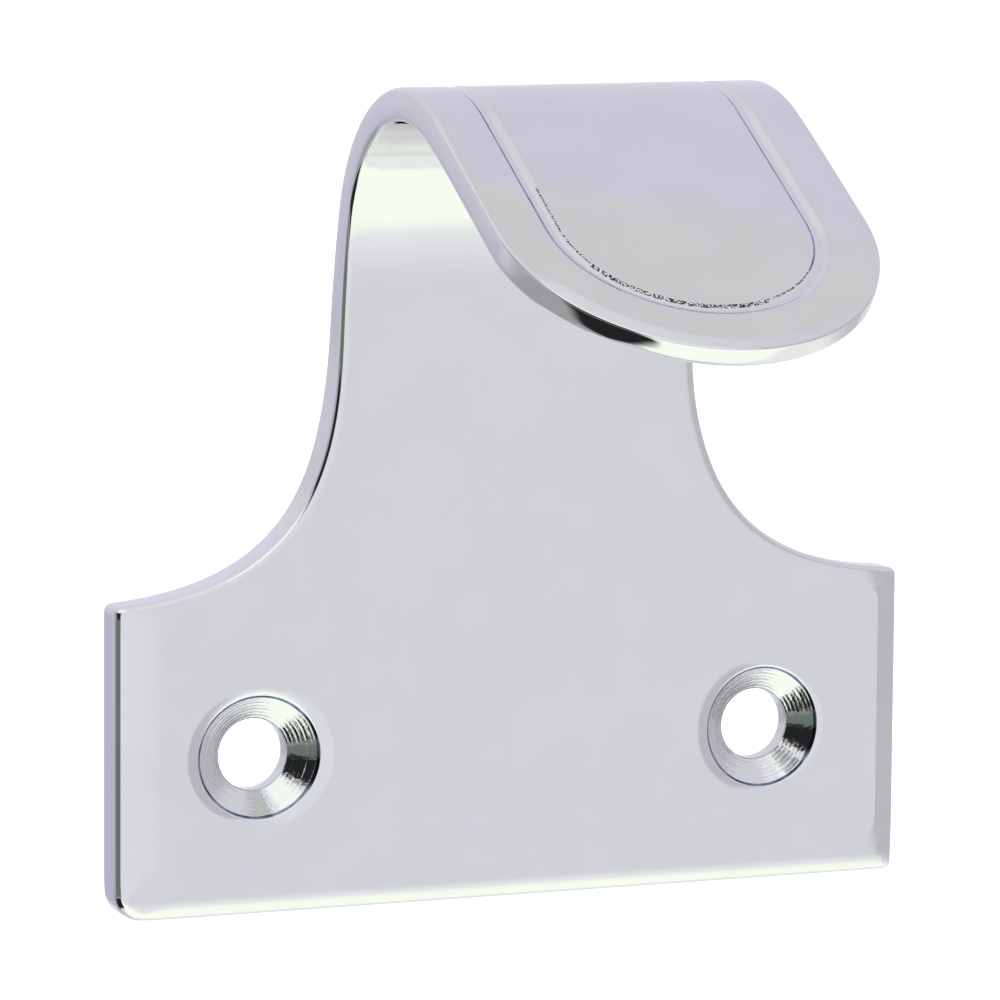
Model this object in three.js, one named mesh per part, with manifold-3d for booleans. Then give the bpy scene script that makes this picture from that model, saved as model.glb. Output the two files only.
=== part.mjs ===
// Hook sash lift: a back plate whose neck runs up, bends forward over the top and
// slopes down to a rounded finger tip. It is one casting, so it is one solid.
// Frame: X across the sash, Y back into the sash with the mounting face at Y = 0,
// Z up, and the origin midway between the two screw holes on the mounting face.

import * as THREE from 'three';
import { mergeVertices } from 'three/addons/utils/BufferGeometryUtils.js';
import Module from 'manifold-3d';

// Base of the plate
const plateWidth = 60;
const plateThickness = 3;
const plateBottom = -11.2;
const shoulderCorner = 11.1;
const cornerRadius = 0.9;

// Shoulders that sweep from the plate's upper corners up into the neck
const neckWidth = 27;
const shoulderTop = 30;
const shoulderPullDown = 11.4;
const shoulderPullIn = 13.1;
const shoulderRise = 1;

// Bend over the top, and the finger tongue that slopes down from it. The neck leans gently
// into the bend, up to the ease angle.
const easeAngle = THREE.MathUtils.degToRad(15);
const bendCentreY = -14.2;
const bendCentreZ = 35.4;
const bendInnerRadius = 9.9;
const hookThickness = 2.4;
const slopeAngle = THREE.MathUtils.degToRad(30.5);
const slopeLength = 26.4;
const tipThickness = 2;
const tipThinningLength = 13;
const bendSteps = 40;

// Screw holes for No. 8 countersunk wood screws
const holeSpacing = 38.7;
const boreDiameter = 5.2;
const countersinkDiameter = 8.4;
const countersinkAngle = THREE.MathUtils.degToRad(90);
const holeSegments = 64;

// Shallow border groove round the finger pad
const grooveInset = 3.6;
const grooveWidth = 1;
const grooveDepth = 0.15;
const tipSegments = 40;

// Cutters run past the surfaces that they cut
const overrun = 2;

// Vertices closer than this are one vertex
const weldDistance = 1e-5;

const finish = { color: 0xc9c8d0, roughness: 0.06, metalness: 1 };

const halfNeck = neckWidth / 2;
const bendOuterRadius = bendInnerRadius + hookThickness;

// The solid modeller works on closed meshes that share their vertices.
const wasm = await Module();
wasm.setup();

function toSolid(geometry) {
  const bare = geometry.index ? geometry.toNonIndexed() : geometry.clone();
  bare.deleteAttribute('normal');
  bare.deleteAttribute('uv');
  const merged = mergeVertices(bare, weldDistance);
  return new wasm.Manifold(new wasm.Mesh({
    numProp: 3,
    vertProperties: new Float32Array(merged.attributes.position.array),
    triVerts: new Uint32Array(merged.index.array),
  }));
}

function toGeometry(solid) {
  const mesh = solid.getMesh();
  const geometry = new THREE.BufferGeometry();
  geometry.setAttribute('position', new THREE.BufferAttribute(mesh.vertProperties, 3));
  geometry.setIndex(new THREE.BufferAttribute(mesh.triVerts, 1));
  geometry.computeVertexNormals();
  return geometry;
}

function extrude(shape, depth, curveSegments) {
  return new THREE.ExtrudeGeometry(shape, { depth, bevelEnabled: false, curveSegments });
}

// A profile drawn in (y, z) is extruded along X, centred on the middle plane.
function extrudeAcross(shape, width, middle = 0) {
  const geometry = extrude(shape, width, bendSteps);
  geometry.translate(0, 0, -width / 2);
  geometry.applyMatrix4(new THREE.Matrix4().makeBasis(
    new THREE.Vector3(0, 1, 0),
    new THREE.Vector3(0, 0, 1),
    new THREE.Vector3(1, 0, 0),
  ));
  geometry.translate(middle, 0, 0);
  return toSolid(geometry);
}

// Point on the bend's outer or inner arc. Angle 0 faces the sash, 90 degrees is the top.
function bendPoint(radius, angle) {
  return new THREE.Vector2(
    bendCentreY + radius * Math.cos(angle),
    bendCentreZ + radius * Math.sin(angle),
  );
}

// Where the bend meets the slope, and the slope's own directions in (y, z)
const slopeStart = Math.PI / 2 + slopeAngle;
const slopeTop = bendPoint(bendOuterRadius, slopeStart);
const downSlope = new THREE.Vector2(-Math.cos(slopeAngle), -Math.sin(slopeAngle));
const offSlope = new THREE.Vector2(-Math.sin(slopeAngle), Math.cos(slopeAngle));

function slopePoint(along, depth) {
  return slopeTop.clone().addScaledVector(downSlope, along).addScaledVector(offSlope, -depth);
}

// Curve that leads a flat face, at the given y, into an arc of the bend: it is a parabola,
// tangent to the face at its start and to the arc at its end
function easeCurve(faceY, radius) {
  const end = bendPoint(radius, easeAngle);
  const pullZ = end.y - (faceY - end.x) / Math.tan(easeAngle);
  return {
    start: new THREE.Vector2(faceY, 2 * pullZ - end.y),
    pull: new THREE.Vector2(faceY, pullZ),
    end,
  };
}

// Side profile of the whole strip in (y, z): up the mounting face, over the bend, down to the
// tip, and back along the inner face
function sideProfile() {
  const shape = new THREE.Shape();
  const outer = easeCurve(0, bendOuterRadius);
  const inner = easeCurve(-plateThickness, bendInnerRadius);
  const outerTip = slopePoint(slopeLength, 0);
  const tip = slopePoint(slopeLength, tipThickness);
  const thick = slopePoint(slopeLength - tipThinningLength, hookThickness);
  const innerEnd = bendPoint(bendInnerRadius, slopeStart);
  shape.moveTo(0, plateBottom);
  shape.lineTo(outer.start.x, outer.start.y);
  shape.quadraticCurveTo(outer.pull.x, outer.pull.y, outer.end.x, outer.end.y);
  shape.absarc(bendCentreY, bendCentreZ, bendOuterRadius, easeAngle, slopeStart, false);
  shape.lineTo(outerTip.x, outerTip.y);
  shape.lineTo(tip.x, tip.y);
  shape.lineTo(thick.x, thick.y);
  shape.lineTo(innerEnd.x, innerEnd.y);
  shape.absarc(bendCentreY, bendCentreZ, bendInnerRadius, slopeStart, easeAngle, true);
  shape.quadraticCurveTo(inner.pull.x, inner.pull.y, inner.start.x, inner.start.y);
  shape.lineTo(-plateThickness, plateBottom);
  shape.closePath();
  return shape;
}

// Front outline of plate, shoulders and neck, drawn in (x, z). The four corners are rounded.
function frontOutline() {
  const edge = plateWidth / 2;
  const cornerStart = edge - cornerRadius;
  const cornerRise = shoulderCorner + cornerRadius * shoulderRise / shoulderPullIn;
  const cornerCentre = plateBottom + cornerRadius;
  const top = bendCentreZ + bendOuterRadius + overrun;
  const shape = new THREE.Shape();
  shape.moveTo(-cornerStart, plateBottom);
  shape.lineTo(cornerStart, plateBottom);
  shape.absarc(cornerStart, cornerCentre, cornerRadius, -Math.PI / 2, 0, false);
  shape.lineTo(edge, shoulderCorner - cornerRadius);
  shape.quadraticCurveTo(edge, shoulderCorner, cornerStart, cornerRise);
  shape.bezierCurveTo(
    edge - shoulderPullIn, shoulderCorner + shoulderRise,
    halfNeck, shoulderTop - shoulderPullDown,
    halfNeck, shoulderTop,
  );
  shape.lineTo(halfNeck, top);
  shape.lineTo(-halfNeck, top);
  shape.lineTo(-halfNeck, shoulderTop);
  shape.bezierCurveTo(
    -halfNeck, shoulderTop - shoulderPullDown,
    -edge + shoulderPullIn, shoulderCorner + shoulderRise,
    -cornerStart, cornerRise,
  );
  shape.quadraticCurveTo(-edge, shoulderCorner, -edge, shoulderCorner - cornerRadius);
  shape.lineTo(-edge, cornerCentre);
  shape.absarc(-cornerStart, cornerCentre, cornerRadius, Math.PI, 1.5 * Math.PI, false);
  return shape;
}

function frontMask() {
  const reach = overrun - slopePoint(slopeLength, 0).x;
  const geometry = extrude(frontOutline(), reach + overrun, tipSegments);
  geometry.rotateX(Math.PI / 2);
  geometry.translate(0, overrun, 0);
  return toSolid(geometry);
}

// A prism whose outline is drawn in (x, distance down the slope), standing on the slope
function slopePrism(shape, above, below) {
  const geometry = extrude(shape, above + below, tipSegments);
  geometry.translate(0, 0, -above);
  geometry.applyMatrix4(new THREE.Matrix4().makeBasis(
    new THREE.Vector3(1, 0, 0),
    new THREE.Vector3(0, downSlope.x, downSlope.y),
    new THREE.Vector3(0, -offSlope.x, -offSlope.y),
  ));
  geometry.translate(0, slopeTop.x, slopeTop.y);
  return toSolid(geometry);
}

// Everything outside the tongue's semicircular end
function tipWaste() {
  const straight = slopeLength - halfNeck;
  const side = halfNeck + overrun;
  const shape = new THREE.Shape();
  shape.moveTo(-side, straight);
  shape.lineTo(-halfNeck, straight);
  shape.absarc(0, straight, halfNeck, Math.PI, 0, true);
  shape.lineTo(side, straight);
  shape.lineTo(side, slopeLength + overrun);
  shape.lineTo(-side, slopeLength + overrun);
  shape.closePath();
  return slopePrism(shape, overrun, hookThickness + overrun);
}

// A thin layer at the outer face, as deep as the groove
function grooveLayer(width, middle) {
  const shape = new THREE.Shape();
  shape.absarc(bendCentreY, bendCentreZ, bendOuterRadius - grooveDepth, easeAngle, slopeStart, false);
  const innerEnd = slopePoint(slopeLength - halfNeck, grooveDepth);
  const outerEnd = slopePoint(slopeLength - halfNeck, -overrun);
  shape.lineTo(innerEnd.x, innerEnd.y);
  shape.lineTo(outerEnd.x, outerEnd.y);
  shape.absarc(bendCentreY, bendCentreZ, bendOuterRadius + overrun, slopeStart, easeAngle, true);
  return extrudeAcross(shape, width, middle);
}

function grooveEnd() {
  const straight = slopeLength - halfNeck;
  const outerRadius = halfNeck - grooveInset;
  const innerRadius = outerRadius - grooveWidth;
  const shape = new THREE.Shape();
  shape.absarc(0, straight, outerRadius, Math.PI, 0, true);
  shape.absarc(0, straight, innerRadius, 0, Math.PI, false);
  return slopePrism(shape, overrun, grooveDepth);
}

function padGroove() {
  const middle = halfNeck - grooveInset - grooveWidth / 2;
  return grooveLayer(grooveWidth, middle).add(grooveLayer(grooveWidth, -middle)).add(grooveEnd());
}

// Countersunk hole: a cone from the front face down to a bore through the back
function screwHole(x) {
  const bore = boreDiameter / 2;
  const rim = countersinkDiameter / 2;
  const coneDepth = (rim - bore) / Math.tan(countersinkAngle / 2);
  const profile = [
    new THREE.Vector2(0, -overrun),
    new THREE.Vector2(bore, -overrun),
    new THREE.Vector2(bore, plateThickness - coneDepth),
    new THREE.Vector2(rim, plateThickness),
    new THREE.Vector2(rim, plateThickness + overrun),
    new THREE.Vector2(0, plateThickness + overrun),
  ];
  const geometry = new THREE.LatheGeometry(profile, holeSegments);
  geometry.rotateX(Math.PI);
  geometry.translate(x, 0, 0);
  return toSolid(geometry);
}

function liftCasting() {
  let solid = extrudeAcross(sideProfile(), plateWidth).intersect(frontMask());
  solid = solid.subtract(tipWaste());
  solid = solid.subtract(padGroove());
  for (const side of [-1, 1]) {
    solid = solid.subtract(screwHole(side * holeSpacing / 2));
  }
  const mesh = new THREE.Mesh(toGeometry(solid), new THREE.MeshStandardMaterial(finish));
  mesh.name = 'lift_casting';
  return mesh;
}

const group = new THREE.Group();
group.add(liftCasting());

export default group;
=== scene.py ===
import math

import bmesh
import bpy
from mathutils import Matrix, Vector


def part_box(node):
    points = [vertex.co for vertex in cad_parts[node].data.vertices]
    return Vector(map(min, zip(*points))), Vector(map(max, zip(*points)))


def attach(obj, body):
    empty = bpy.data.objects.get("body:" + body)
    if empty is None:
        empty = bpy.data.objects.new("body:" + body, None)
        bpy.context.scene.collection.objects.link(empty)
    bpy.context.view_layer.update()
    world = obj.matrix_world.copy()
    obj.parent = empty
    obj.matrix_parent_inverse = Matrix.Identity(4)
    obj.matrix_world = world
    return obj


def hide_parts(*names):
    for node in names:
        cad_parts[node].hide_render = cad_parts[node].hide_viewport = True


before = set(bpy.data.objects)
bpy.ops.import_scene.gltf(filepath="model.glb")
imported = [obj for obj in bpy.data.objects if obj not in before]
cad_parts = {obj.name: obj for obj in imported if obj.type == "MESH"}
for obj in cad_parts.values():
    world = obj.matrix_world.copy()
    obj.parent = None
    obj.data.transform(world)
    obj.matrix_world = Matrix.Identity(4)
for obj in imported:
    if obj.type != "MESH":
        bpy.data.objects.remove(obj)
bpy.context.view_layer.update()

castLow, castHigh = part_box("lift_casting")
mm = 0.001
print("frame loaded")

# The casting is drawn as a flat blank in millimetres, X across and Z along the strip, with its
# front face towards -Y. It is then bent over and brought down to metres.
lift = {
    "plateThickness": 3.0,
    "shoulderCorner": 11.1,      # height of the plate's upper corners
    "cornerRadius": 0.55,
    "wornCorner": 1.5,           # extra rounding of the lower left corner
    "neckWidth": 27.0,
    "shoulderTop": 30.0,
    "shoulderPullDown": 11.4,
    "shoulderPullIn": 13.1,
    "shoulderRise": 1.0,
    "bendHeight": 35.4,          # centre of the bend above the screw holes
    "bendReach": 14.2,           # and in front of the mounting face
    "bendRadius": 12.3,          # outer face of the bend
    "bendAngle": 120.5,
    "easeAngle": 15.0,           # the neck's gentle lean before the bend proper
    "hookThickness": 2.4,
    "slopeLength": 26.4,
    "tongueBlend": 8.0,          # where the bend's edges and border turn into the tongue's
    "tipThickness": 2.0,
    "tipThinning": 13.0,         # length over which the tongue gets that thin
    "wallCrown": 0.01,
}

# Size of the rounding along each edge
edge = {
    "front": 0.3,
    "left": 0.46,                # wider along the plate's left end
    "leftFrom": 2.5,             # how far in that begins, and over what width it grows
    "leftOver": 2.0,
    "under": 0.6,                # the tongue's underside
    "back": 0.35,
    "hook": 0.5,                 # outer face of the neck and bend
    "hookOver": 8.0,
    "tip": 0.22,                 # outer face of the tongue
    "roll": 0.16,                # the outer face's slow fall round the tongue's end
    "rollFrom": 3.0,
    "rollOver": 5.0,
    "bevel": 1.45,               # fullness in front: 2 is a true round, 1 a flat bevel
    "round": 2.0,                # and on the outer face
}

# The front face's polished-off border: width, fall towards the edge, softness of its inner line
border = {
    "left": (3.9, 0.17, 0.3),
    "right": (1.55, 0.14, 0.03),
    "bottom": (3.0, 0.27, 0.1),
    "neck": (1.6, 0.05, 0.15),
    "shares": (1.12, 1.03, 1.0, 0.97, 0.9, 0.8, 0.66, 0.5, 0.34),
    "cornerGrowth": 0.4,
    "margin": 0.5,               # each side's fall reaches this far past its inner line
    "blend": 0.8,
}

# The groove round the finger pad
groove = {
    "inset": 3.6,
    "width": 1.0,
    "depth": 0.2,
    "fadeIn": 5.0,
    "lead": (1.05, 1.6),         # insets of the two plain rings outside it
    "leftPaintedShade": (-16, 7),        # painted shade line on the outer lip, from the slope's start to the tip's centre
    "rightPaintedShade": (8, 5),         # painted shade line on the inner lip, from the bend's start to the tip's centre
    "rightFrom": 2,
    "lipChatterAndShade": 8.5,           # inner lip, from the slope's start on: rough, with painted shade
    "wallChatterAndShade": 2,            # inner wall, from the tip's centre on: rough, with painted shade
    "wallWidth": (-8, 3),
}

hole = {
    "spacing": 38.7,
    "bore": 5.1,
    "rim": 8.9,
    "stretch": (1.045, 0.985),   # the left countersink was cut a little wide
    "dish": 1.05,                # width of the worn dish round the rim
    "dishDrop": (0.13, 0.07),    # deeper round the left hole
    "dishSteps": 6,
    "margin": 0.5,               # plain ring outside the dish, and round the bore behind
    "lip": 0.05,                 # rounding at both ends of the cone
    "lipDrop": (0.035, 0.09),
    "coneDepth": 1.55,
    "turns": 7,                  # steps left by the cutter in the cone
    "turnDepth": 0.010,
    "turnPoints": 4,
    "uneven": 0.45,              # share of a step's height that comes and goes
    "unevenPace": 23,
    "rimPaintedShade": (0.08, 0.15),    # below the rim: where the painted shade line begins, and its width
    "points": 96,
}

steps = {"bottom": 10, "corner": 5, "side": 8, "shoulder": 28, "neck": 12, "bend": 52, "slope": 8,
         "tip": 24, "round": 5}

polished, turned, chatterAndShade, paintedShade = range(4)    # finishes, in the order of the materials; the last two carry painted shade

halfWidth = (castHigh.x - castLow.x) / mm / 2
plateBottom = castLow.z / mm
halfNeck = lift["neckWidth"] / 2
easeAngle = math.radians(lift["easeAngle"])
bendAngle = math.radians(lift["bendAngle"]) - easeAngle
easeReach = lift["bendReach"] - lift["bendRadius"] * math.cos(easeAngle)
easeRadius = easeReach / (1 - math.cos(easeAngle))
easeStart = lift["bendHeight"] - (easeRadius - lift["bendRadius"]) * math.sin(easeAngle)
bendStart = easeStart + easeRadius * easeAngle
slopeStart = bendStart + lift["bendRadius"] * bendAngle
tipCentre = slopeStart + lift["slopeLength"] - halfNeck


def smoothStep(value):
    value = min(max(value, 0), 1)
    return value * value * (3 - 2 * value)


def mix(a, b, share):
    return a + (b - a) * share


# Thickness of the strip at a height along the blank. Its outer face is the plane Y = 0.
def thickness(z):
    thin = smoothStep((z - easeStart) / (bendStart - easeStart))
    body = mix(lift["plateThickness"], lift["hookThickness"], thin)
    tipStart = slopeStart + lift["slopeLength"] - lift["tipThinning"]
    toTip = smoothStep((z - tipStart) / lift["tipThinning"])
    return mix(body, lift["tipThickness"], toTip)


def bezier(a, b, c, d, u):
    v = 1 - u
    return a * v**3 + b * 3 * v * v * u + c * 3 * v * u * u + d * u**3


# A point on the right shoulder, moved inwards by the inset
def shoulderPoint(u, inset):
    corner = lift["shoulderCorner"]
    startRise = lift["cornerRadius"] * lift["shoulderRise"] / lift["shoulderPullIn"]
    a = Vector((halfWidth - lift["cornerRadius"], corner + startRise))
    b = Vector((halfWidth - lift["shoulderPullIn"], corner + lift["shoulderRise"]))
    c = Vector((halfNeck, lift["shoulderTop"] - lift["shoulderPullDown"]))
    d = Vector((halfNeck, lift["shoulderTop"]))
    small = 0.001
    along = bezier(a, b, c, d, u + small) - bezier(a, b, c, d, u - small)
    along.normalize()
    return bezier(a, b, c, d, u) + inset * Vector((-along.y, along.x))


# How much of the tongue there is at a height: none up to the bend, all of it from the slope on
def tongueShare(z):
    blend = lift["tongueBlend"]
    return smoothStep((z - slopeStart + blend / 2) / blend)


# Half of the outline, from the middle of the bottom edge up to the end of the tongue
def halfOutline(side, bottom, neck, tongue, radius, lowRadius):
    right = halfWidth - side
    base = plateBottom + bottom
    quarter = math.pi / 2
    points = []

    def run(count, place):
        points.extend(place(i / count) for i in range(count))

    # Halves down to the shoulder's start, where it meets the rounded corner
    startU, highU = -0.1, 1.0
    for _ in range(40):
        middle = (startU + highU) / 2
        if shoulderPoint(middle, neck).x > right - radius:
            startU = middle
        else:
            highU = middle
    top = shoulderPoint(startU, neck).y
    run(steps["bottom"], lambda t: Vector((mix(0, right - lowRadius, t), base)))
    run(steps["corner"], lambda t: Vector((right - lowRadius * (1 - math.sin(t * quarter)),
                                           base + lowRadius * (1 - math.cos(t * quarter)))))
    run(steps["side"], lambda t: Vector((right, mix(base + lowRadius, top - radius, t))))
    run(steps["corner"], lambda t: Vector((right - radius + radius * math.cos(t * quarter),
                                           top - radius + radius * math.sin(t * quarter))))
    run(steps["shoulder"], lambda t: shoulderPoint(mix(startU, 1, t), neck))

    def strip(low, high):
        def place(t):
            z = mix(low, high, t)
            return Vector((halfNeck - mix(neck, tongue, tongueShare(z)), z))
        return place

    run(steps["neck"], strip(lift["shoulderTop"], bendStart))
    run(steps["bend"], strip(bendStart, slopeStart))
    run(steps["slope"], strip(slopeStart, tipCentre))
    end = halfNeck - tongue
    run(steps["tip"], lambda t: Vector((end * math.cos(t * quarter),
                                        tipCentre + end * math.sin(t * quarter))))
    points.append(Vector((0, tipCentre + end)))
    return points


def outline(left, right, bottom, neck, tongue, radius):
    rightHalf = halfOutline(right, bottom, neck, tongue, radius, radius)
    leftHalf = halfOutline(left, bottom, neck, tongue, radius, radius + lift["wornCorner"])
    return rightHalf + [Vector((-p.x, p.y)) for p in reversed(leftHalf[1:-1])]


def evenOutline(inset, radius):
    return outline(inset, inset, inset, inset, inset, radius)


# How far the polished-off border has fallen, at a share of its width in from the edge
def borderDrop(p, share):
    inward = max(1 - share, 0)

    def fall(name):
        width, drop, soft = border[name]
        return drop * (math.hypot(inward, soft) - soft)

    name = "left" if p.x < 0 else "right"
    margin, blend = border["margin"], border["blend"]
    side = smoothStep((abs(p.x) - halfWidth + border[name][0] * share + margin) / blend + 1)
    low = smoothStep((plateBottom + border["bottom"][0] * share + margin - p.y) / blend + 1)
    across = mix(fall("neck"), fall(name), side)
    return mix(across, max(across, border["bottom"][1] * inward**2), low)


# Rings of the casting from the front border, round the edge, to the pad on the outer face.
# A ring is its outline, a function for the depth at a point and one for the finish there.
def frontRing(points, drop):
    return points, lambda p: drop(p) - thickness(p.y), allPolished


def outerRing(points, drop, finish=None):
    return points, lambda p: -drop(p), finish or allPolished


def allPolished(p):
    return polished


# Inset and drop of a rounded edge, as shares of its size, from the face to the wall
def edgeLadder(fullness):
    power = 2 / fullness
    turns = [math.pi / 2 * i / steps["round"] for i in range(steps["round"] + 1)]
    return [(1 - math.sin(turn) ** power, 1 - math.cos(turn) ** power) for turn in turns]


def frontEdgeAt(p):
    toLeft = smoothStep((-p.x - halfWidth + edge["leftFrom"]) / edge["leftOver"])
    plate = mix(edge["front"], edge["left"], toLeft)
    return mix(plate, edge["under"], tongueShare(p.y))


def outerEdgeAt(p):
    strip = mix(edge["back"], edge["hook"], smoothStep((p.y - easeStart) / edge["hookOver"]))
    return mix(strip, edge["tip"], tongueShare(p.y))


# The outer face rolls off gently towards the end of the tongue
def tipRoll(p):
    return edge["roll"] * smoothStep((p.y - tipCentre - edge["rollFrom"]) / edge["rollOver"])


def grooveRings():
    corner = lift["cornerRadius"]
    inset, width, depth = groove["inset"], groove["width"], groove["depth"]

    def drop(share):
        deep = depth * (1 - (2 * share - 1) ** 2) if 0 < share < 1 else 0
        return lambda p: deep * smoothStep((p.y - bendStart) / groove["fadeIn"])

    # The outer lip gets a painted shade line on the left, along the tongue
    def outerLip(p):
        low, high = groove["leftPaintedShade"]
        inPaintedShade = p.x < 0 and slopeStart + low < p.y < tipCentre + high
        return paintedShade if inPaintedShade else polished

    # The inner lip gets a painted shade line on the right, then rough chatter marks with painted
    # shade
    def innerLip(p):
        low, high = groove["rightPaintedShade"]
        if p.x > groove["rightFrom"] and bendStart + low < p.y < tipCentre + high:
            return paintedShade
        return chatterAndShade if p.y > slopeStart + groove["lipChatterAndShade"] else polished

    # The inner wall near the tip gets rough chatter marks with painted shade
    def innerWall(p):
        low, high = groove["wallWidth"]
        roughAndShaded = p.y > tipCentre + groove["wallChatterAndShade"] and low < p.x < high
        return chatterAndShade if roughAndShaded else polished

    ladder = [(-0.6, None), (-0.25, None), (-0.02, None), (0.1, outerLip), (0.28, None),
              (0.5, None), (0.78, None), (0.93, innerWall), (1.02, innerLip), (1.25, None),
              (1.6, None)]
    rings = [outerRing(evenOutline(place, corner), drop(0)) for place in groove["lead"]]
    for share, finish in ladder:
        rings.append(outerRing(evenOutline(inset + share * width, corner), drop(share), finish))
    return rings


def ringsOfCasting():
    rings = []
    corner = lift["cornerRadius"]
    for share in border["shares"]:
        inset = [share * border[name][0] for name in ("left", "right", "bottom", "neck", "neck")]
        rings.append(frontRing(outline(*inset, corner + border["cornerGrowth"] * share),
                               lambda p, share=share: borderDrop(p, share)))
    for inShare, dropShare in edgeLadder(edge["bevel"]):
        inset = [lift["wallCrown"] + edge[name] * inShare
                 for name in ("left", "front", "front", "front", "under")]
        points = outline(*inset, corner)
        rings.append(frontRing(points, lambda p, share=dropShare:
                               borderDrop(p, 0) + frontEdgeAt(p) * share))
    rings.append((evenOutline(0, corner), lambda p: -thickness(p.y) / 2, allPolished))
    for inShare, dropShare in reversed(edgeLadder(edge["round"])):
        inset = [lift["wallCrown"] + edge[name] * inShare
                 for name in ("back", "back", "back", "hook", "tip")]
        points = outline(*inset, corner)
        rings.append(outerRing(points, lambda p, share=dropShare:
                               tipRoll(p) + outerEdgeAt(p) * share))
    return rings + grooveRings()


def deselectAll():
    bpy.ops.object.select_all(action="DESELECT")


def selectOnly(bm, edges):
    for part in (bm.faces, bm.edges, bm.verts):
        for element in part:
            element.select = False
    for line in edges:
        line.select_set(True)
    bm.select_flush_mode()


def loopEdges(bm, loop):
    return [bm.edges.get(pair) for pair in zip(loop, loop[1:] + loop[:1])]


# Extrudes a loop of edges and puts each new vertex in its place. Returns the new loop.
def extrudeLoop(mesh, loop, places, finishes):
    bm = bmesh.from_edit_mesh(mesh)
    bm.verts.ensure_lookup_table()
    old = [bm.verts[i] for i in loop]
    selectOnly(bm, loopEdges(bm, old))
    bmesh.update_edit_mesh(mesh)
    bpy.ops.mesh.extrude_edges_move()
    bm = bmesh.from_edit_mesh(mesh)
    bm.verts.ensure_lookup_table()
    bm.verts.index_update()
    fresh = []
    for i, place in zip(loop, places):
        vertex = bm.verts[i]
        twin = next(e.other_vert(vertex) for e in vertex.link_edges if e.other_vert(vertex).select)
        twin.co = place
        fresh.append(twin.index)
    for line, finish in zip(loopEdges(bm, [bm.verts[i] for i in fresh]), finishes):
        line.link_faces[0].material_index = finish
    bmesh.update_edit_mesh(mesh)
    return fresh


def startLoop(name, places):
    deselectAll()
    bpy.ops.mesh.primitive_circle_add(vertices=len(places), radius=1, fill_type="NOTHING")
    piece = bpy.context.object
    piece.name = name
    for finish in finishes:
        piece.data.materials.append(finish)
    bpy.ops.object.mode_set(mode="EDIT")
    bpy.context.tool_settings.mesh_select_mode = (True, True, False)
    bm = bmesh.from_edit_mesh(piece.data)
    bm.verts.ensure_lookup_table()
    for vertex, place in zip(bm.verts, places):
        vertex.co = place
    bmesh.update_edit_mesh(piece.data)
    return piece


def ringPlaces(ring):
    points, depthAt = ring[:2]
    return [Vector((p.x, depthAt(p), p.y)) for p in points]


# Fills the inside of the last ring: the plate round its holes, one strip for each step of the
# neck, bend and slope, and the half disc of the tip.
def fillFace(mesh, loop, holeLoops):
    half = len(loop) // 2

    def mirror(i):
        return loop[-i]

    first = steps["bottom"] + 2 * steps["corner"] + steps["side"]
    last = half - steps["tip"]
    bm = bmesh.from_edit_mesh(mesh)
    bm.verts.ensure_lookup_table()
    while bm.verts[loop[first]].co.z < easeStart - 1:
        first += 1
    for i in range(first, last):
        corners = [loop[i], loop[i + 1], mirror(i + 1), mirror(i)]
        bm.faces.new([bm.verts[c] for c in corners])
    tip = loop[last:half + 1] + [mirror(i) for i in range(half - 1, last - 1, -1)]
    bm.faces.new([bm.verts[i] for i in tip])
    lower = loop[:first + 1] + [mirror(i) for i in range(first, 0, -1)]
    edges = loopEdges(bm, [bm.verts[i] for i in lower])
    for ring in holeLoops:
        edges += loopEdges(bm, [bm.verts[i] for i in ring])
    selectOnly(bm, edges)
    bmesh.update_edit_mesh(mesh)
    bpy.ops.mesh.fill(use_beauty=True)


def circlePlaces(x, radius, depth, stretch=1.0):
    count = hole["points"]
    turns = [2 * math.pi * i / count for i in range(count)]
    return [Vector((x + radius * stretch * math.cos(turn), depth, radius * math.sin(turn)))
            for turn in turns]


# Radius and depth below the front face, from the dish at the rim down to the back face
def holeProfile(dishDrop):
    rim, bore = hole["rim"] / 2, hole["bore"] / 2
    deep, full, lip = hole["coneDepth"], lift["plateThickness"], hole["lip"]
    lipDrop, coneDrop = hole["lipDrop"]
    profile = [(rim + hole["dish"] + hole["margin"], 0)]
    for i in range(hole["dishSteps"] + 1):
        share = i / hole["dishSteps"]
        profile.append((rim + hole["dish"] * (1 - share), dishDrop * share**2))
    profile.append((rim - lip, dishDrop + lipDrop))
    points = hole["turns"] * hole["turnPoints"]
    for i in range(1, points):
        share = i / points
        ripple = hole["turnDepth"] * math.sin(2 * math.pi * hole["turns"] * share)
        ripple *= 1 - hole["uneven"] + hole["uneven"] * math.sin(share * hole["unevenPace"])
        radius = mix(rim - 2 * lip, bore + lip, share)
        profile.append((radius, mix(dishDrop + coneDrop, deep - lip, share) + ripple))
    # The bore, and its small rounding at the back face
    profile += [(bore, deep), (bore - 0.02, deep + 0.1), (bore - 0.02, full - 0.25),
                (bore + 0.01, full - 0.1), (bore + 0.1, full), (bore + hole["margin"], full)]
    return profile


# A hole as a tube, from the plain ring outside its dish down to the back face. Returns the
# tube and its last loop. The left hole is number 0, the right one number 1.
def makeHole(number):
    bore = hole["bore"] / 2
    x = (number - 0.5) * hole["spacing"]
    front = -lift["plateThickness"]
    profile = holeProfile(hole["dishDrop"][number])
    places = []
    for radius, drop in profile:
        stretch = mix(1, hole["stretch"][number], smoothStep(radius / bore - 1))
        places.append(circlePlaces(x, radius, front + drop, stretch))
    fromRim, paintedShadeWidth = hole["rimPaintedShade"]
    coneTop = hole["rim"] / 2 - fromRim
    tube = startLoop("screwHole", places[0])
    loop = list(range(hole["points"]))
    for (radius, drop), step in zip(profile[1:], places[1:]):
        # Just under the rim the cone gets a painted shade line; the rest of the cone is turned
        finish = polished
        if bore - 0.01 < radius < coneTop and drop < hole["coneDepth"] + 0.01:
            finish = paintedShade if radius > coneTop - paintedShadeWidth else turned
        loop = extrudeLoop(tube.data, loop, step, [finish] * len(loop))
    bpy.ops.object.mode_set(mode="OBJECT")
    return tube, loop


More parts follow.
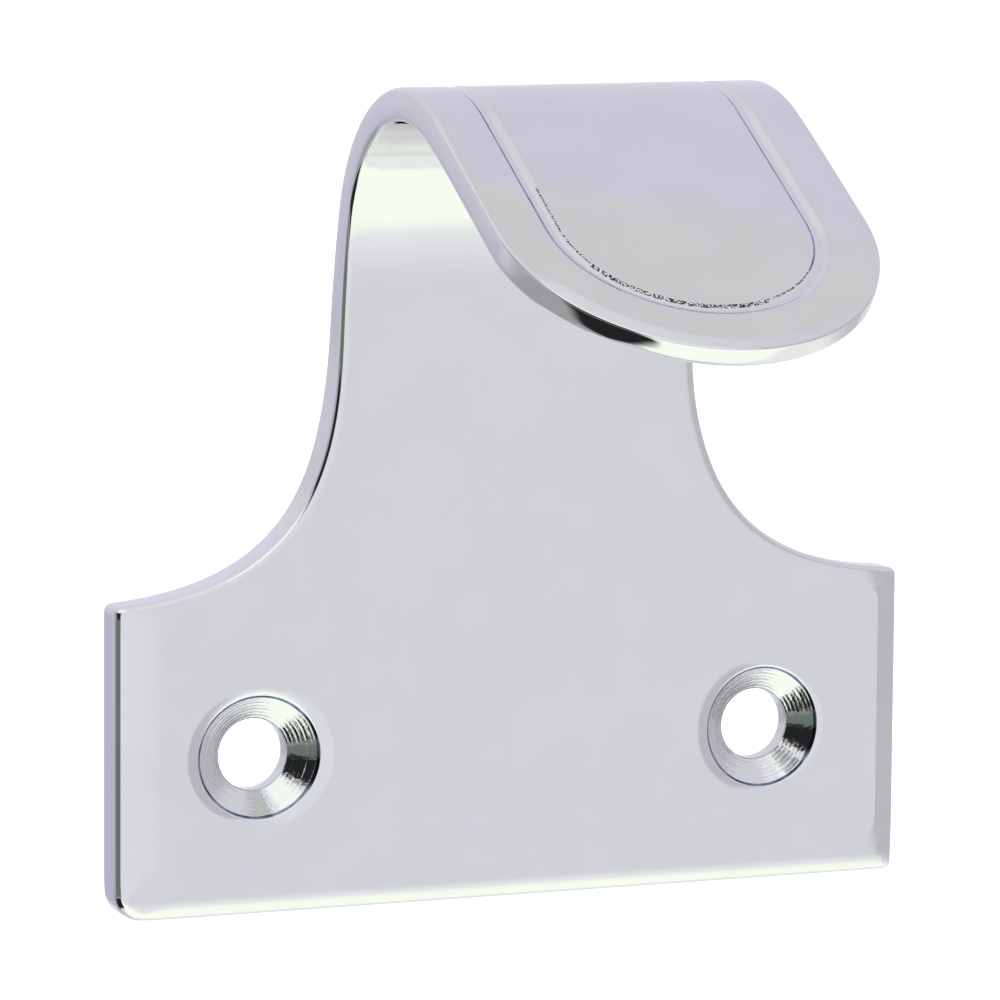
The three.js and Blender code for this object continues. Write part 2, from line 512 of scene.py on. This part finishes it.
def makeBlank():
    rings = ringsOfCasting()
    piece = startLoop("casting", ringPlaces(rings[0]))
    mesh = piece.data
    frontLoop = backLoop = list(range(len(rings[0][0])))
    for ring in rings[1:]:
        backLoop = extrudeLoop(mesh, backLoop, ringPlaces(ring), [ring[2](p) for p in ring[0]])
    bpy.ops.object.mode_set(mode="OBJECT")
    frontHoles, backHoles = [], []
    for number in (0, 1):
        tube, loop = makeHole(number)
        base = len(mesh.vertices)
        deselectAll()
        tube.select_set(True)
        piece.select_set(True)
        bpy.context.view_layer.objects.active = piece
        bpy.ops.object.join()
        frontHoles.append([base + i for i in range(hole["points"])])
        backHoles.append([base + i for i in loop])
    bpy.ops.object.mode_set(mode="EDIT")
    fillFace(mesh, frontLoop, frontHoles)
    fillFace(mesh, backLoop, backHoles)
    bpy.ops.mesh.select_all(action="SELECT")
    bpy.ops.mesh.normals_make_consistent(inside=False)
    bpy.ops.object.mode_set(mode="OBJECT")
    return piece


def applyModifier(piece, kind, **values):
    modifier = piece.modifiers.new(kind.lower(), kind)
    for name, value in values.items():
        setattr(modifier, name, value)
    deselectAll()
    piece.select_set(True)
    bpy.context.view_layer.objects.active = piece
    bpy.ops.object.modifier_apply(modifier=modifier.name)


# Bends the strip over between two heights, with its outer face on the given radius
def bendOver(piece, start, length, angle):
    piece.data.transform(Matrix.Translation((0, 0, -start)))
    heights = [v.co.z for v in piece.data.vertices]
    low, high = min(heights), max(heights)
    applyModifier(piece, "SIMPLE_DEFORM", deform_method="BEND", deform_axis="X",
                  limits=(-low / (high - low), (length - low) / (high - low)), angle=-angle)
    piece.data.transform(Matrix.Translation((0, 0, start)))


# The blank is smoothed while flat. The bend comes first and the neck's lean after it, so that
# the bend is carried over by the lean.
def formBlank(piece):
    applyModifier(piece, "SUBSURF", levels=1, render_levels=1)
    bendOver(piece, bendStart, lift["bendRadius"] * bendAngle, bendAngle)
    bendOver(piece, easeStart, easeRadius * easeAngle, easeAngle)
    piece.location = (0, castHigh.y, 0)
    piece.scale = (mm, mm, mm)
    bpy.ops.object.transform_apply(location=True, rotation=False, scale=True)
    bpy.ops.object.shade_smooth()


# Chrome plating. The sizes and heights of its marks are in millimetres. A pair named Noise is
# the stretch of a noise over which a mark comes in.
chrome = {
    "colour": (0.722, 0.722, 0.736, 1),
    "noise": (0.3, 0.7),
    "roughness": (0.012, 0.04),
    "patchSize": 4.0,            # where the polish is a little duller
    "patchNoise": (0.3, 0.75),
    "waveSize": 9.0,             # slow waviness left by the polishing wheel
    "waveHeight": 0.004,
    "lineSize": 0.22,            # hairlines across the strip
    "lineHeight": 0.00005,
    "cloudSize": 5.0,            # faint clouding of the plating
    "cloud": 0.975,
    "turnedRoughness": (0.03, 0.09),
    "turnedSize": 0.13,
    "turnedHeight": 0.012,
    "brokenSize": 0.5,           # where the cutter's rings are fainter
    "brokenNoise": (0.25, 0.6),
    "snagSize": 0.32,            # where the cutter snagged
    "snagHeight": 0.016,
    "chatterRoughness": (0.12, 0.30),
    "chatterSize": 0.13,
    "chatterHeight": 0.04,
    # Near-black painted shade in the chatter marks
    "chatterPaintedShade": (0.04, 0.04, 0.04, 1),
    "chatterShadeNoise": (0.46, 0.56),
    # Colours of the painted shade lines in the groove's corners and under the rims
    "paintedShadeColour": (0.07, 0.09, 0.20, 1),
    "paintedShadeEdgeColour": (0.28, 0.30, 0.42, 1),
    "paintedShadeStreakSize": 1.5,
    "paintedShadeRoughness": 0.12,
}


class Nodes:
    def __init__(self, tree):
        self.tree = tree

    def add(self, kind, values=None, **settings):
        node = self.tree.nodes.new(kind)
        for name, value in settings.items():
            setattr(node, name, value)
        self.feed(node, values or {})
        return node

    # Gives each named input its value, or the output that it is to follow
    def feed(self, node, values):
        for name, value in values.items():
            if isinstance(value, bpy.types.NodeSocket):
                self.tree.links.new(value, node.inputs[name])
            else:
                node.inputs[name].default_value = value

    def math(self, operation, *values):
        return self.add("ShaderNodeMath", dict(enumerate(values)), operation=operation).outputs[0]

    def ramp(self, value, low, high, first=0.0, last=1.0):
        node = self.add("ShaderNodeMapRange", {"Value": value, "From Min": low, "From Max": high,
                                               "To Min": first, "To Max": last},
                        interpolation_type="SMOOTHSTEP")
        return node.outputs["Result"]

    def blend(self, share, under, over):
        node = self.add("ShaderNodeMix", {"Factor": share, "A": under, "B": over},
                        data_type="RGBA")
        return node.outputs["Result"]


def startMetal(name):
    metal = bpy.data.materials.new(name)
    metal.use_nodes = True
    nodes = Nodes(metal.node_tree)
    shader = metal.node_tree.nodes["Principled BSDF"]
    nodes.feed(shader, {"Base Color": chrome["colour"], "Metallic": 1})
    place = nodes.add("ShaderNodeTexCoord").outputs["Object"]
    return metal, nodes, shader, place


def noiseAt(nodes, place, size, detail=2.0, stretch=(1, 1, 1)):
    mapped = nodes.add("ShaderNodeMapping", {"Vector": place, "Scale": stretch}).outputs["Vector"]
    return nodes.add("ShaderNodeTexNoise", {"Vector": mapped, "Scale": 1 / (size * mm),
                                            "Detail": detail}).outputs["Fac"]


def bumpOf(nodes, height, distance, below=None):
    values = {"Height": height, "Distance": distance * mm, "Strength": 1.0}
    if below:
        values["Normal"] = below
    return nodes.add("ShaderNodeBump", values).outputs["Normal"]


def makePolished():
    metal, nodes, shader, place = startMetal("polishedChrome")
    wave = noiseAt(nodes, place, chrome["waveSize"], 1.0)
    lines = noiseAt(nodes, place, chrome["lineSize"], 3.0, (0.04, 1, 1))
    patches = noiseAt(nodes, place, chrome["patchSize"], 4.0)
    clouds = noiseAt(nodes, place, chrome["cloudSize"], 6.0)
    clouded = (*(part * chrome["cloud"] for part in chrome["colour"][:3]), 1)
    bump = bumpOf(nodes, wave, chrome["waveHeight"])
    nodes.feed(shader, {
        "Base Color": nodes.blend(nodes.ramp(clouds, *chrome["noise"]), clouded, chrome["colour"]),
        "Roughness": nodes.ramp(patches, *chrome["patchNoise"], *chrome["roughness"]),
        "Normal": bumpOf(nodes, lines, chrome["lineHeight"], bump)})
    return metal


# Cut by a countersink: fine rings round each hole, broken up here and there
def makeTurned():
    metal, nodes, shader, place = startMetal("turnedChrome")
    parts = nodes.add("ShaderNodeSeparateXYZ", {"Vector": place})
    fromHole = nodes.math("SUBTRACT", nodes.math("ABSOLUTE", parts.outputs["X"]),
                          hole["spacing"] / 2 * mm)
    radius = nodes.math("SQRT", nodes.math("ADD", nodes.math("POWER", fromHole, 2.0),
                                           nodes.math("POWER", parts.outputs["Z"], 2.0)))
    ringPlace = nodes.add("ShaderNodeCombineXYZ", {"X": radius}).outputs["Vector"]
    rings = noiseAt(nodes, ringPlace, chrome["turnedSize"], 3.0)
    broken = noiseAt(nodes, place, chrome["brokenSize"], 3.0)
    faint = nodes.ramp(broken, *chrome["brokenNoise"], 0.5, 1.0)
    snags = noiseAt(nodes, place, chrome["snagSize"], 4.0)
    bump = bumpOf(nodes, nodes.math("MULTIPLY", rings, faint), chrome["turnedHeight"])
    nodes.feed(shader, {
        "Roughness": nodes.ramp(broken, *chrome["noise"], *chrome["turnedRoughness"]),
        "Normal": bumpOf(nodes, snags, chrome["snagHeight"], bump)})
    return metal


# Painted shade: dark navy lines in the groove's sharp corners and under the countersinks' rims,
# standing in for the dark reflection there
def makePaintedShade():
    metal, nodes, shader, place = startMetal("paintedShadeChrome")
    paintedShadeStreaks = nodes.ramp(noiseAt(nodes, place, chrome["paintedShadeStreakSize"], 3.0), *chrome["noise"])
    nodes.feed(shader, {"Base Color": nodes.blend(paintedShadeStreaks, chrome["paintedShadeColour"], chrome["paintedShadeEdgeColour"]),
                        "Roughness": chrome["paintedShadeRoughness"]})
    return metal


# The groove's inner wall, left rough by the cutter under the plating, with painted shade: its base
# colour goes near black in the marks
def makeChatterAndShade():
    metal, nodes, shader, place = startMetal("chatterAndShadeChrome")
    marks = noiseAt(nodes, place, chrome["chatterSize"], 3.0)
    paintedDark = nodes.ramp(marks, *chrome["chatterShadeNoise"])
    nodes.feed(shader, {
        "Base Color": nodes.blend(paintedDark, chrome["chatterPaintedShade"], chrome["colour"]),
        "Roughness": nodes.ramp(marks, *chrome["noise"], *chrome["chatterRoughness"]),
        "Normal": bumpOf(nodes, marks, chrome["chatterHeight"])})
    return metal


finishes = [makePolished(), makeTurned(), makeChatterAndShade(), makePaintedShade()]
print("chrome done")

casting = makeBlank()
formBlank(casting)
print("casting", len(casting.data.polygons), "faces")
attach(casting, "root")
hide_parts("lift_casting")

# Camera: its direction from the target in degrees, its place in millimetres
view = {"azimuth": -22.30, "elevation": 7.694, "roll": 0.456, "distance": 467.1, "lens": 235.8,
        "sensor": 36, "nearest": 10, "target": (-0.085, 0.0, 17.017)}
azimuth, elevation, roll = (math.radians(view[name]) for name in ("azimuth", "elevation", "roll"))
back = Vector((math.sin(azimuth) * math.cos(elevation), -math.cos(azimuth) * math.cos(elevation),
               math.sin(elevation)))
target = Vector(view["target"]) * mm
across = Vector((math.cos(azimuth), math.sin(azimuth), 0))
upward = across.cross(-back)
right = across * math.cos(roll) + upward * math.sin(roll)
top = upward * math.cos(roll) - across * math.sin(roll)
deselectAll()
bpy.ops.object.camera_add()
camera = bpy.context.object
camera.data.lens = view["lens"]
camera.data.sensor_width = view["sensor"]
camera.data.clip_start = view["nearest"] * mm
turn = Matrix((right, top, back)).transposed().to_4x4()
camera.matrix_world = Matrix.Translation(target + back * view["distance"] * mm) @ turn
bpy.context.scene.camera = camera

# The studio that the chrome mirrors. A panel is centred at an azimuth (0 in front, 90 at the
# right) and reaches from a low to a high elevation. All in degrees, each painted over the last.
studio = {
    "gain": 1.39,
    "base": (0.60, 0.60, 0.64),
    "panels": [
        {"name": "ceiling", "at": 0, "half": 200, "low": 68, "high": 100, "soft": (5, 8),
         "colour": (0.66, 0.66, 0.69)},
        {"name": "frontWall", "at": -3, "half": 27, "low": -60, "high": 34, "soft": (3, 5),
         "colour": (0.695, 0.70, 0.735)},
        {"name": "rightWall", "at": 78, "half": 50, "low": -24, "high": 22, "soft": (1.5, 8),
         "colour": (0.48, 0.475, 0.50)},
        {"name": "middleWall", "at": 22.3, "half": 6.2, "low": -70, "high": 30, "soft": (2.2, 5),
         "colour": (0.64, 0.645, 0.68)},
        {"name": "backWall", "at": 168, "half": 24, "low": -20, "high": 26, "soft": (6, 6),
         "colour": (0.62, 0.61, 0.70)},
        {"name": "backCorner", "at": -162, "half": 14, "low": -40, "high": 0, "soft": (6, 7),
         "colour": (0.43, 0.43, 0.525)},
        {"name": "backHigh", "at": -158, "half": 16, "low": -5.5, "high": 12, "soft": (6, 3),
         "colour": (0.56, 0.53, 0.61)},
        {"name": "backLeftStrip", "at": -127, "half": 14, "low": 42, "high": 62, "soft": (6, 6),
         "colour": (0.74, 0.73, 0.71)},
        {"name": "leftLow", "at": -122, "half": 30, "low": -60, "high": -12, "soft": (8, 6),
         "colour": (0.33, 0.33, 0.34)},
        {"name": "leftWall", "at": -105, "half": 28, "low": -12, "high": 28, "soft": (8, 8),
         "colour": (0.36, 0.36, 0.38)},
        {"name": "hookLavender", "at": 133, "half": 30, "low": 8, "high": 64, "soft": (8, 3),
         "colour": (0.575, 0.565, 0.655)},
        {"name": "rightTable", "at": 95, "half": 42, "low": -80, "high": -30, "soft": (8, 6),
         "colour": (0.80, 0.81, 0.78)},
        {"name": "tableGlow", "at": 2, "half": 64, "low": -100, "high": -26.5, "soft": (6, 6),
         "colour": (0.80, 0.82, 0.80)},
        {"name": "frontTable", "at": 2, "half": 64, "low": -100, "high": -30.8, "soft": (6, 2.2),
         "colour": (0.92, 0.99, 0.87)},
        {"name": "upperLeftBox", "at": -35, "half": 32, "low": 32, "high": 64, "soft": (5, 4),
         "colour": (0.88, 0.93, 0.86)},
        {"name": "upperFrontBox", "at": 14, "half": 16, "low": 34, "high": 62, "soft": (5, 5),
         "colour": (0.76, 0.77, 0.79)},
        {"name": "lowFlag", "at": -70, "half": 28, "low": -58, "high": -24, "soft": (5, 4),
         "colour": (0.015, 0.016, 0.015)},
        {"name": "highFlag", "at": -54, "half": 24, "low": -8, "high": 27, "soft": (5, 4),
         "colour": (0.015, 0.017, 0.015)},
        {"name": "flagGap", "at": -60, "half": 30, "low": -23, "high": -6, "soft": (5, 2),
         "colour": (0.135, 0.165, 0.14)},
    ],
    # Grey light over the lavender one, mirrored by the tongue. Its sharp lower edge is at
    # "height" over "centre", and rises from there by "slope".
    "greyEdge": {"at": 124, "half": 17, "height": 56.96, "slope": 0.343, "centre": 131.55,
                 "soft": 0.05, "high": 67, "fade": 3, "colour": (0.580, 0.575, 0.585)},
}


def bandMask(nodes, value, low, high, soft):
    enter = nodes.ramp(value, low - soft, low + soft)
    leave = nodes.ramp(value, high + soft, high - soft)
    return nodes.math("MULTIPLY", enter, leave)


# Degrees from a panel's azimuth, between -180 and 180
def degreesAside(nodes, turn, at):
    return nodes.math("WRAP", nodes.math("SUBTRACT", turn, float(at)), 180.0, -180.0)


def makeStudio():
    world = bpy.data.worlds.new("studio")
    bpy.context.scene.world = world
    world.use_nodes = True
    nodes = Nodes(world.node_tree)
    direction = nodes.add("ShaderNodeTexCoord").outputs["Generated"]
    parts = nodes.add("ShaderNodeSeparateXYZ", {"Vector": direction})
    forward = nodes.math("MULTIPLY", parts.outputs["Y"], -1.0)
    degrees = 180 / math.pi
    turn = nodes.math("MULTIPLY", nodes.math("ARCTAN2", parts.outputs["X"], forward), degrees)
    height = nodes.math("MULTIPLY", nodes.math("ARCSINE", parts.outputs["Z"]), degrees)
    colour = (*studio["base"], 1)
    for panel in studio["panels"]:
        aside = degreesAside(nodes, turn, panel["at"])
        half, (softTurn, softHeight) = panel["half"], panel["soft"]
        mask = nodes.math("MULTIPLY", bandMask(nodes, aside, -half, half, softTurn),
                          bandMask(nodes, height, panel["low"], panel["high"], softHeight))
        colour = nodes.blend(mask, colour, (*panel["colour"], 1))
    grey = studio["greyEdge"]
    half, fade, soft = grey["half"], grey["fade"], grey["soft"]
    aside = degreesAside(nodes, turn, grey["at"])
    rise = nodes.math("MULTIPLY", nodes.math("SUBTRACT", turn, grey["centre"]), grey["slope"])
    tilted = nodes.math("SUBTRACT", height, rise)
    above = nodes.ramp(tilted, grey["height"] - soft, grey["height"] + soft)
    below = nodes.ramp(height, grey["high"] + fade, grey["high"] - fade)
    mask = nodes.math("MULTIPLY", bandMask(nodes, aside, -half, half, fade),
                      nodes.math("MULTIPLY", above, below))
    light = world.node_tree.nodes["Background"]
    nodes.feed(light, {"Color": nodes.blend(mask, colour, (*grey["colour"], 1)),
                       "Strength": studio["gain"]})
    # The camera itself sees plain white behind the piece
    sweep = nodes.add("ShaderNodeBackground", {"Color": (1, 1, 1, 1), "Strength": 1.0})
    seen = nodes.add("ShaderNodeLightPath").outputs["Is Camera Ray"]
    both = nodes.add("ShaderNodeMixShader", {0: seen, 1: light.outputs[0], 2: sweep.outputs[0]})
    nodes.feed(world.node_tree.nodes["World Output"], {"Surface": both.outputs[0]})


# Pale paper just under the plate. It glows a little, and the chrome doesn't mirror it.
paper = {"size": 6, "gap": 0.2, "colour": (0.9, 0.9, 0.9, 1), "glow": 0.75}


def makeFloor():
    deselectAll()
    height = castLow.z - paper["gap"] * mm
    bpy.ops.mesh.primitive_plane_add(size=paper["size"], location=(0, 0, height))
    floor = bpy.context.object
    floor.name = "floor"
    pale = bpy.data.materials.new("paleFloor")
    pale.use_nodes = True
    Nodes(pale.node_tree).feed(pale.node_tree.nodes["Principled BSDF"], {
        "Base Color": paper["colour"], "Emission Color": (1, 1, 1, 1),
        "Emission Strength": paper["glow"]})
    floor.data.materials.append(pale)
    floor.visible_glossy = False


makeStudio()
makeFloor()
bpy.context.scene.view_settings.view_transform = "Standard"
print("studio done")
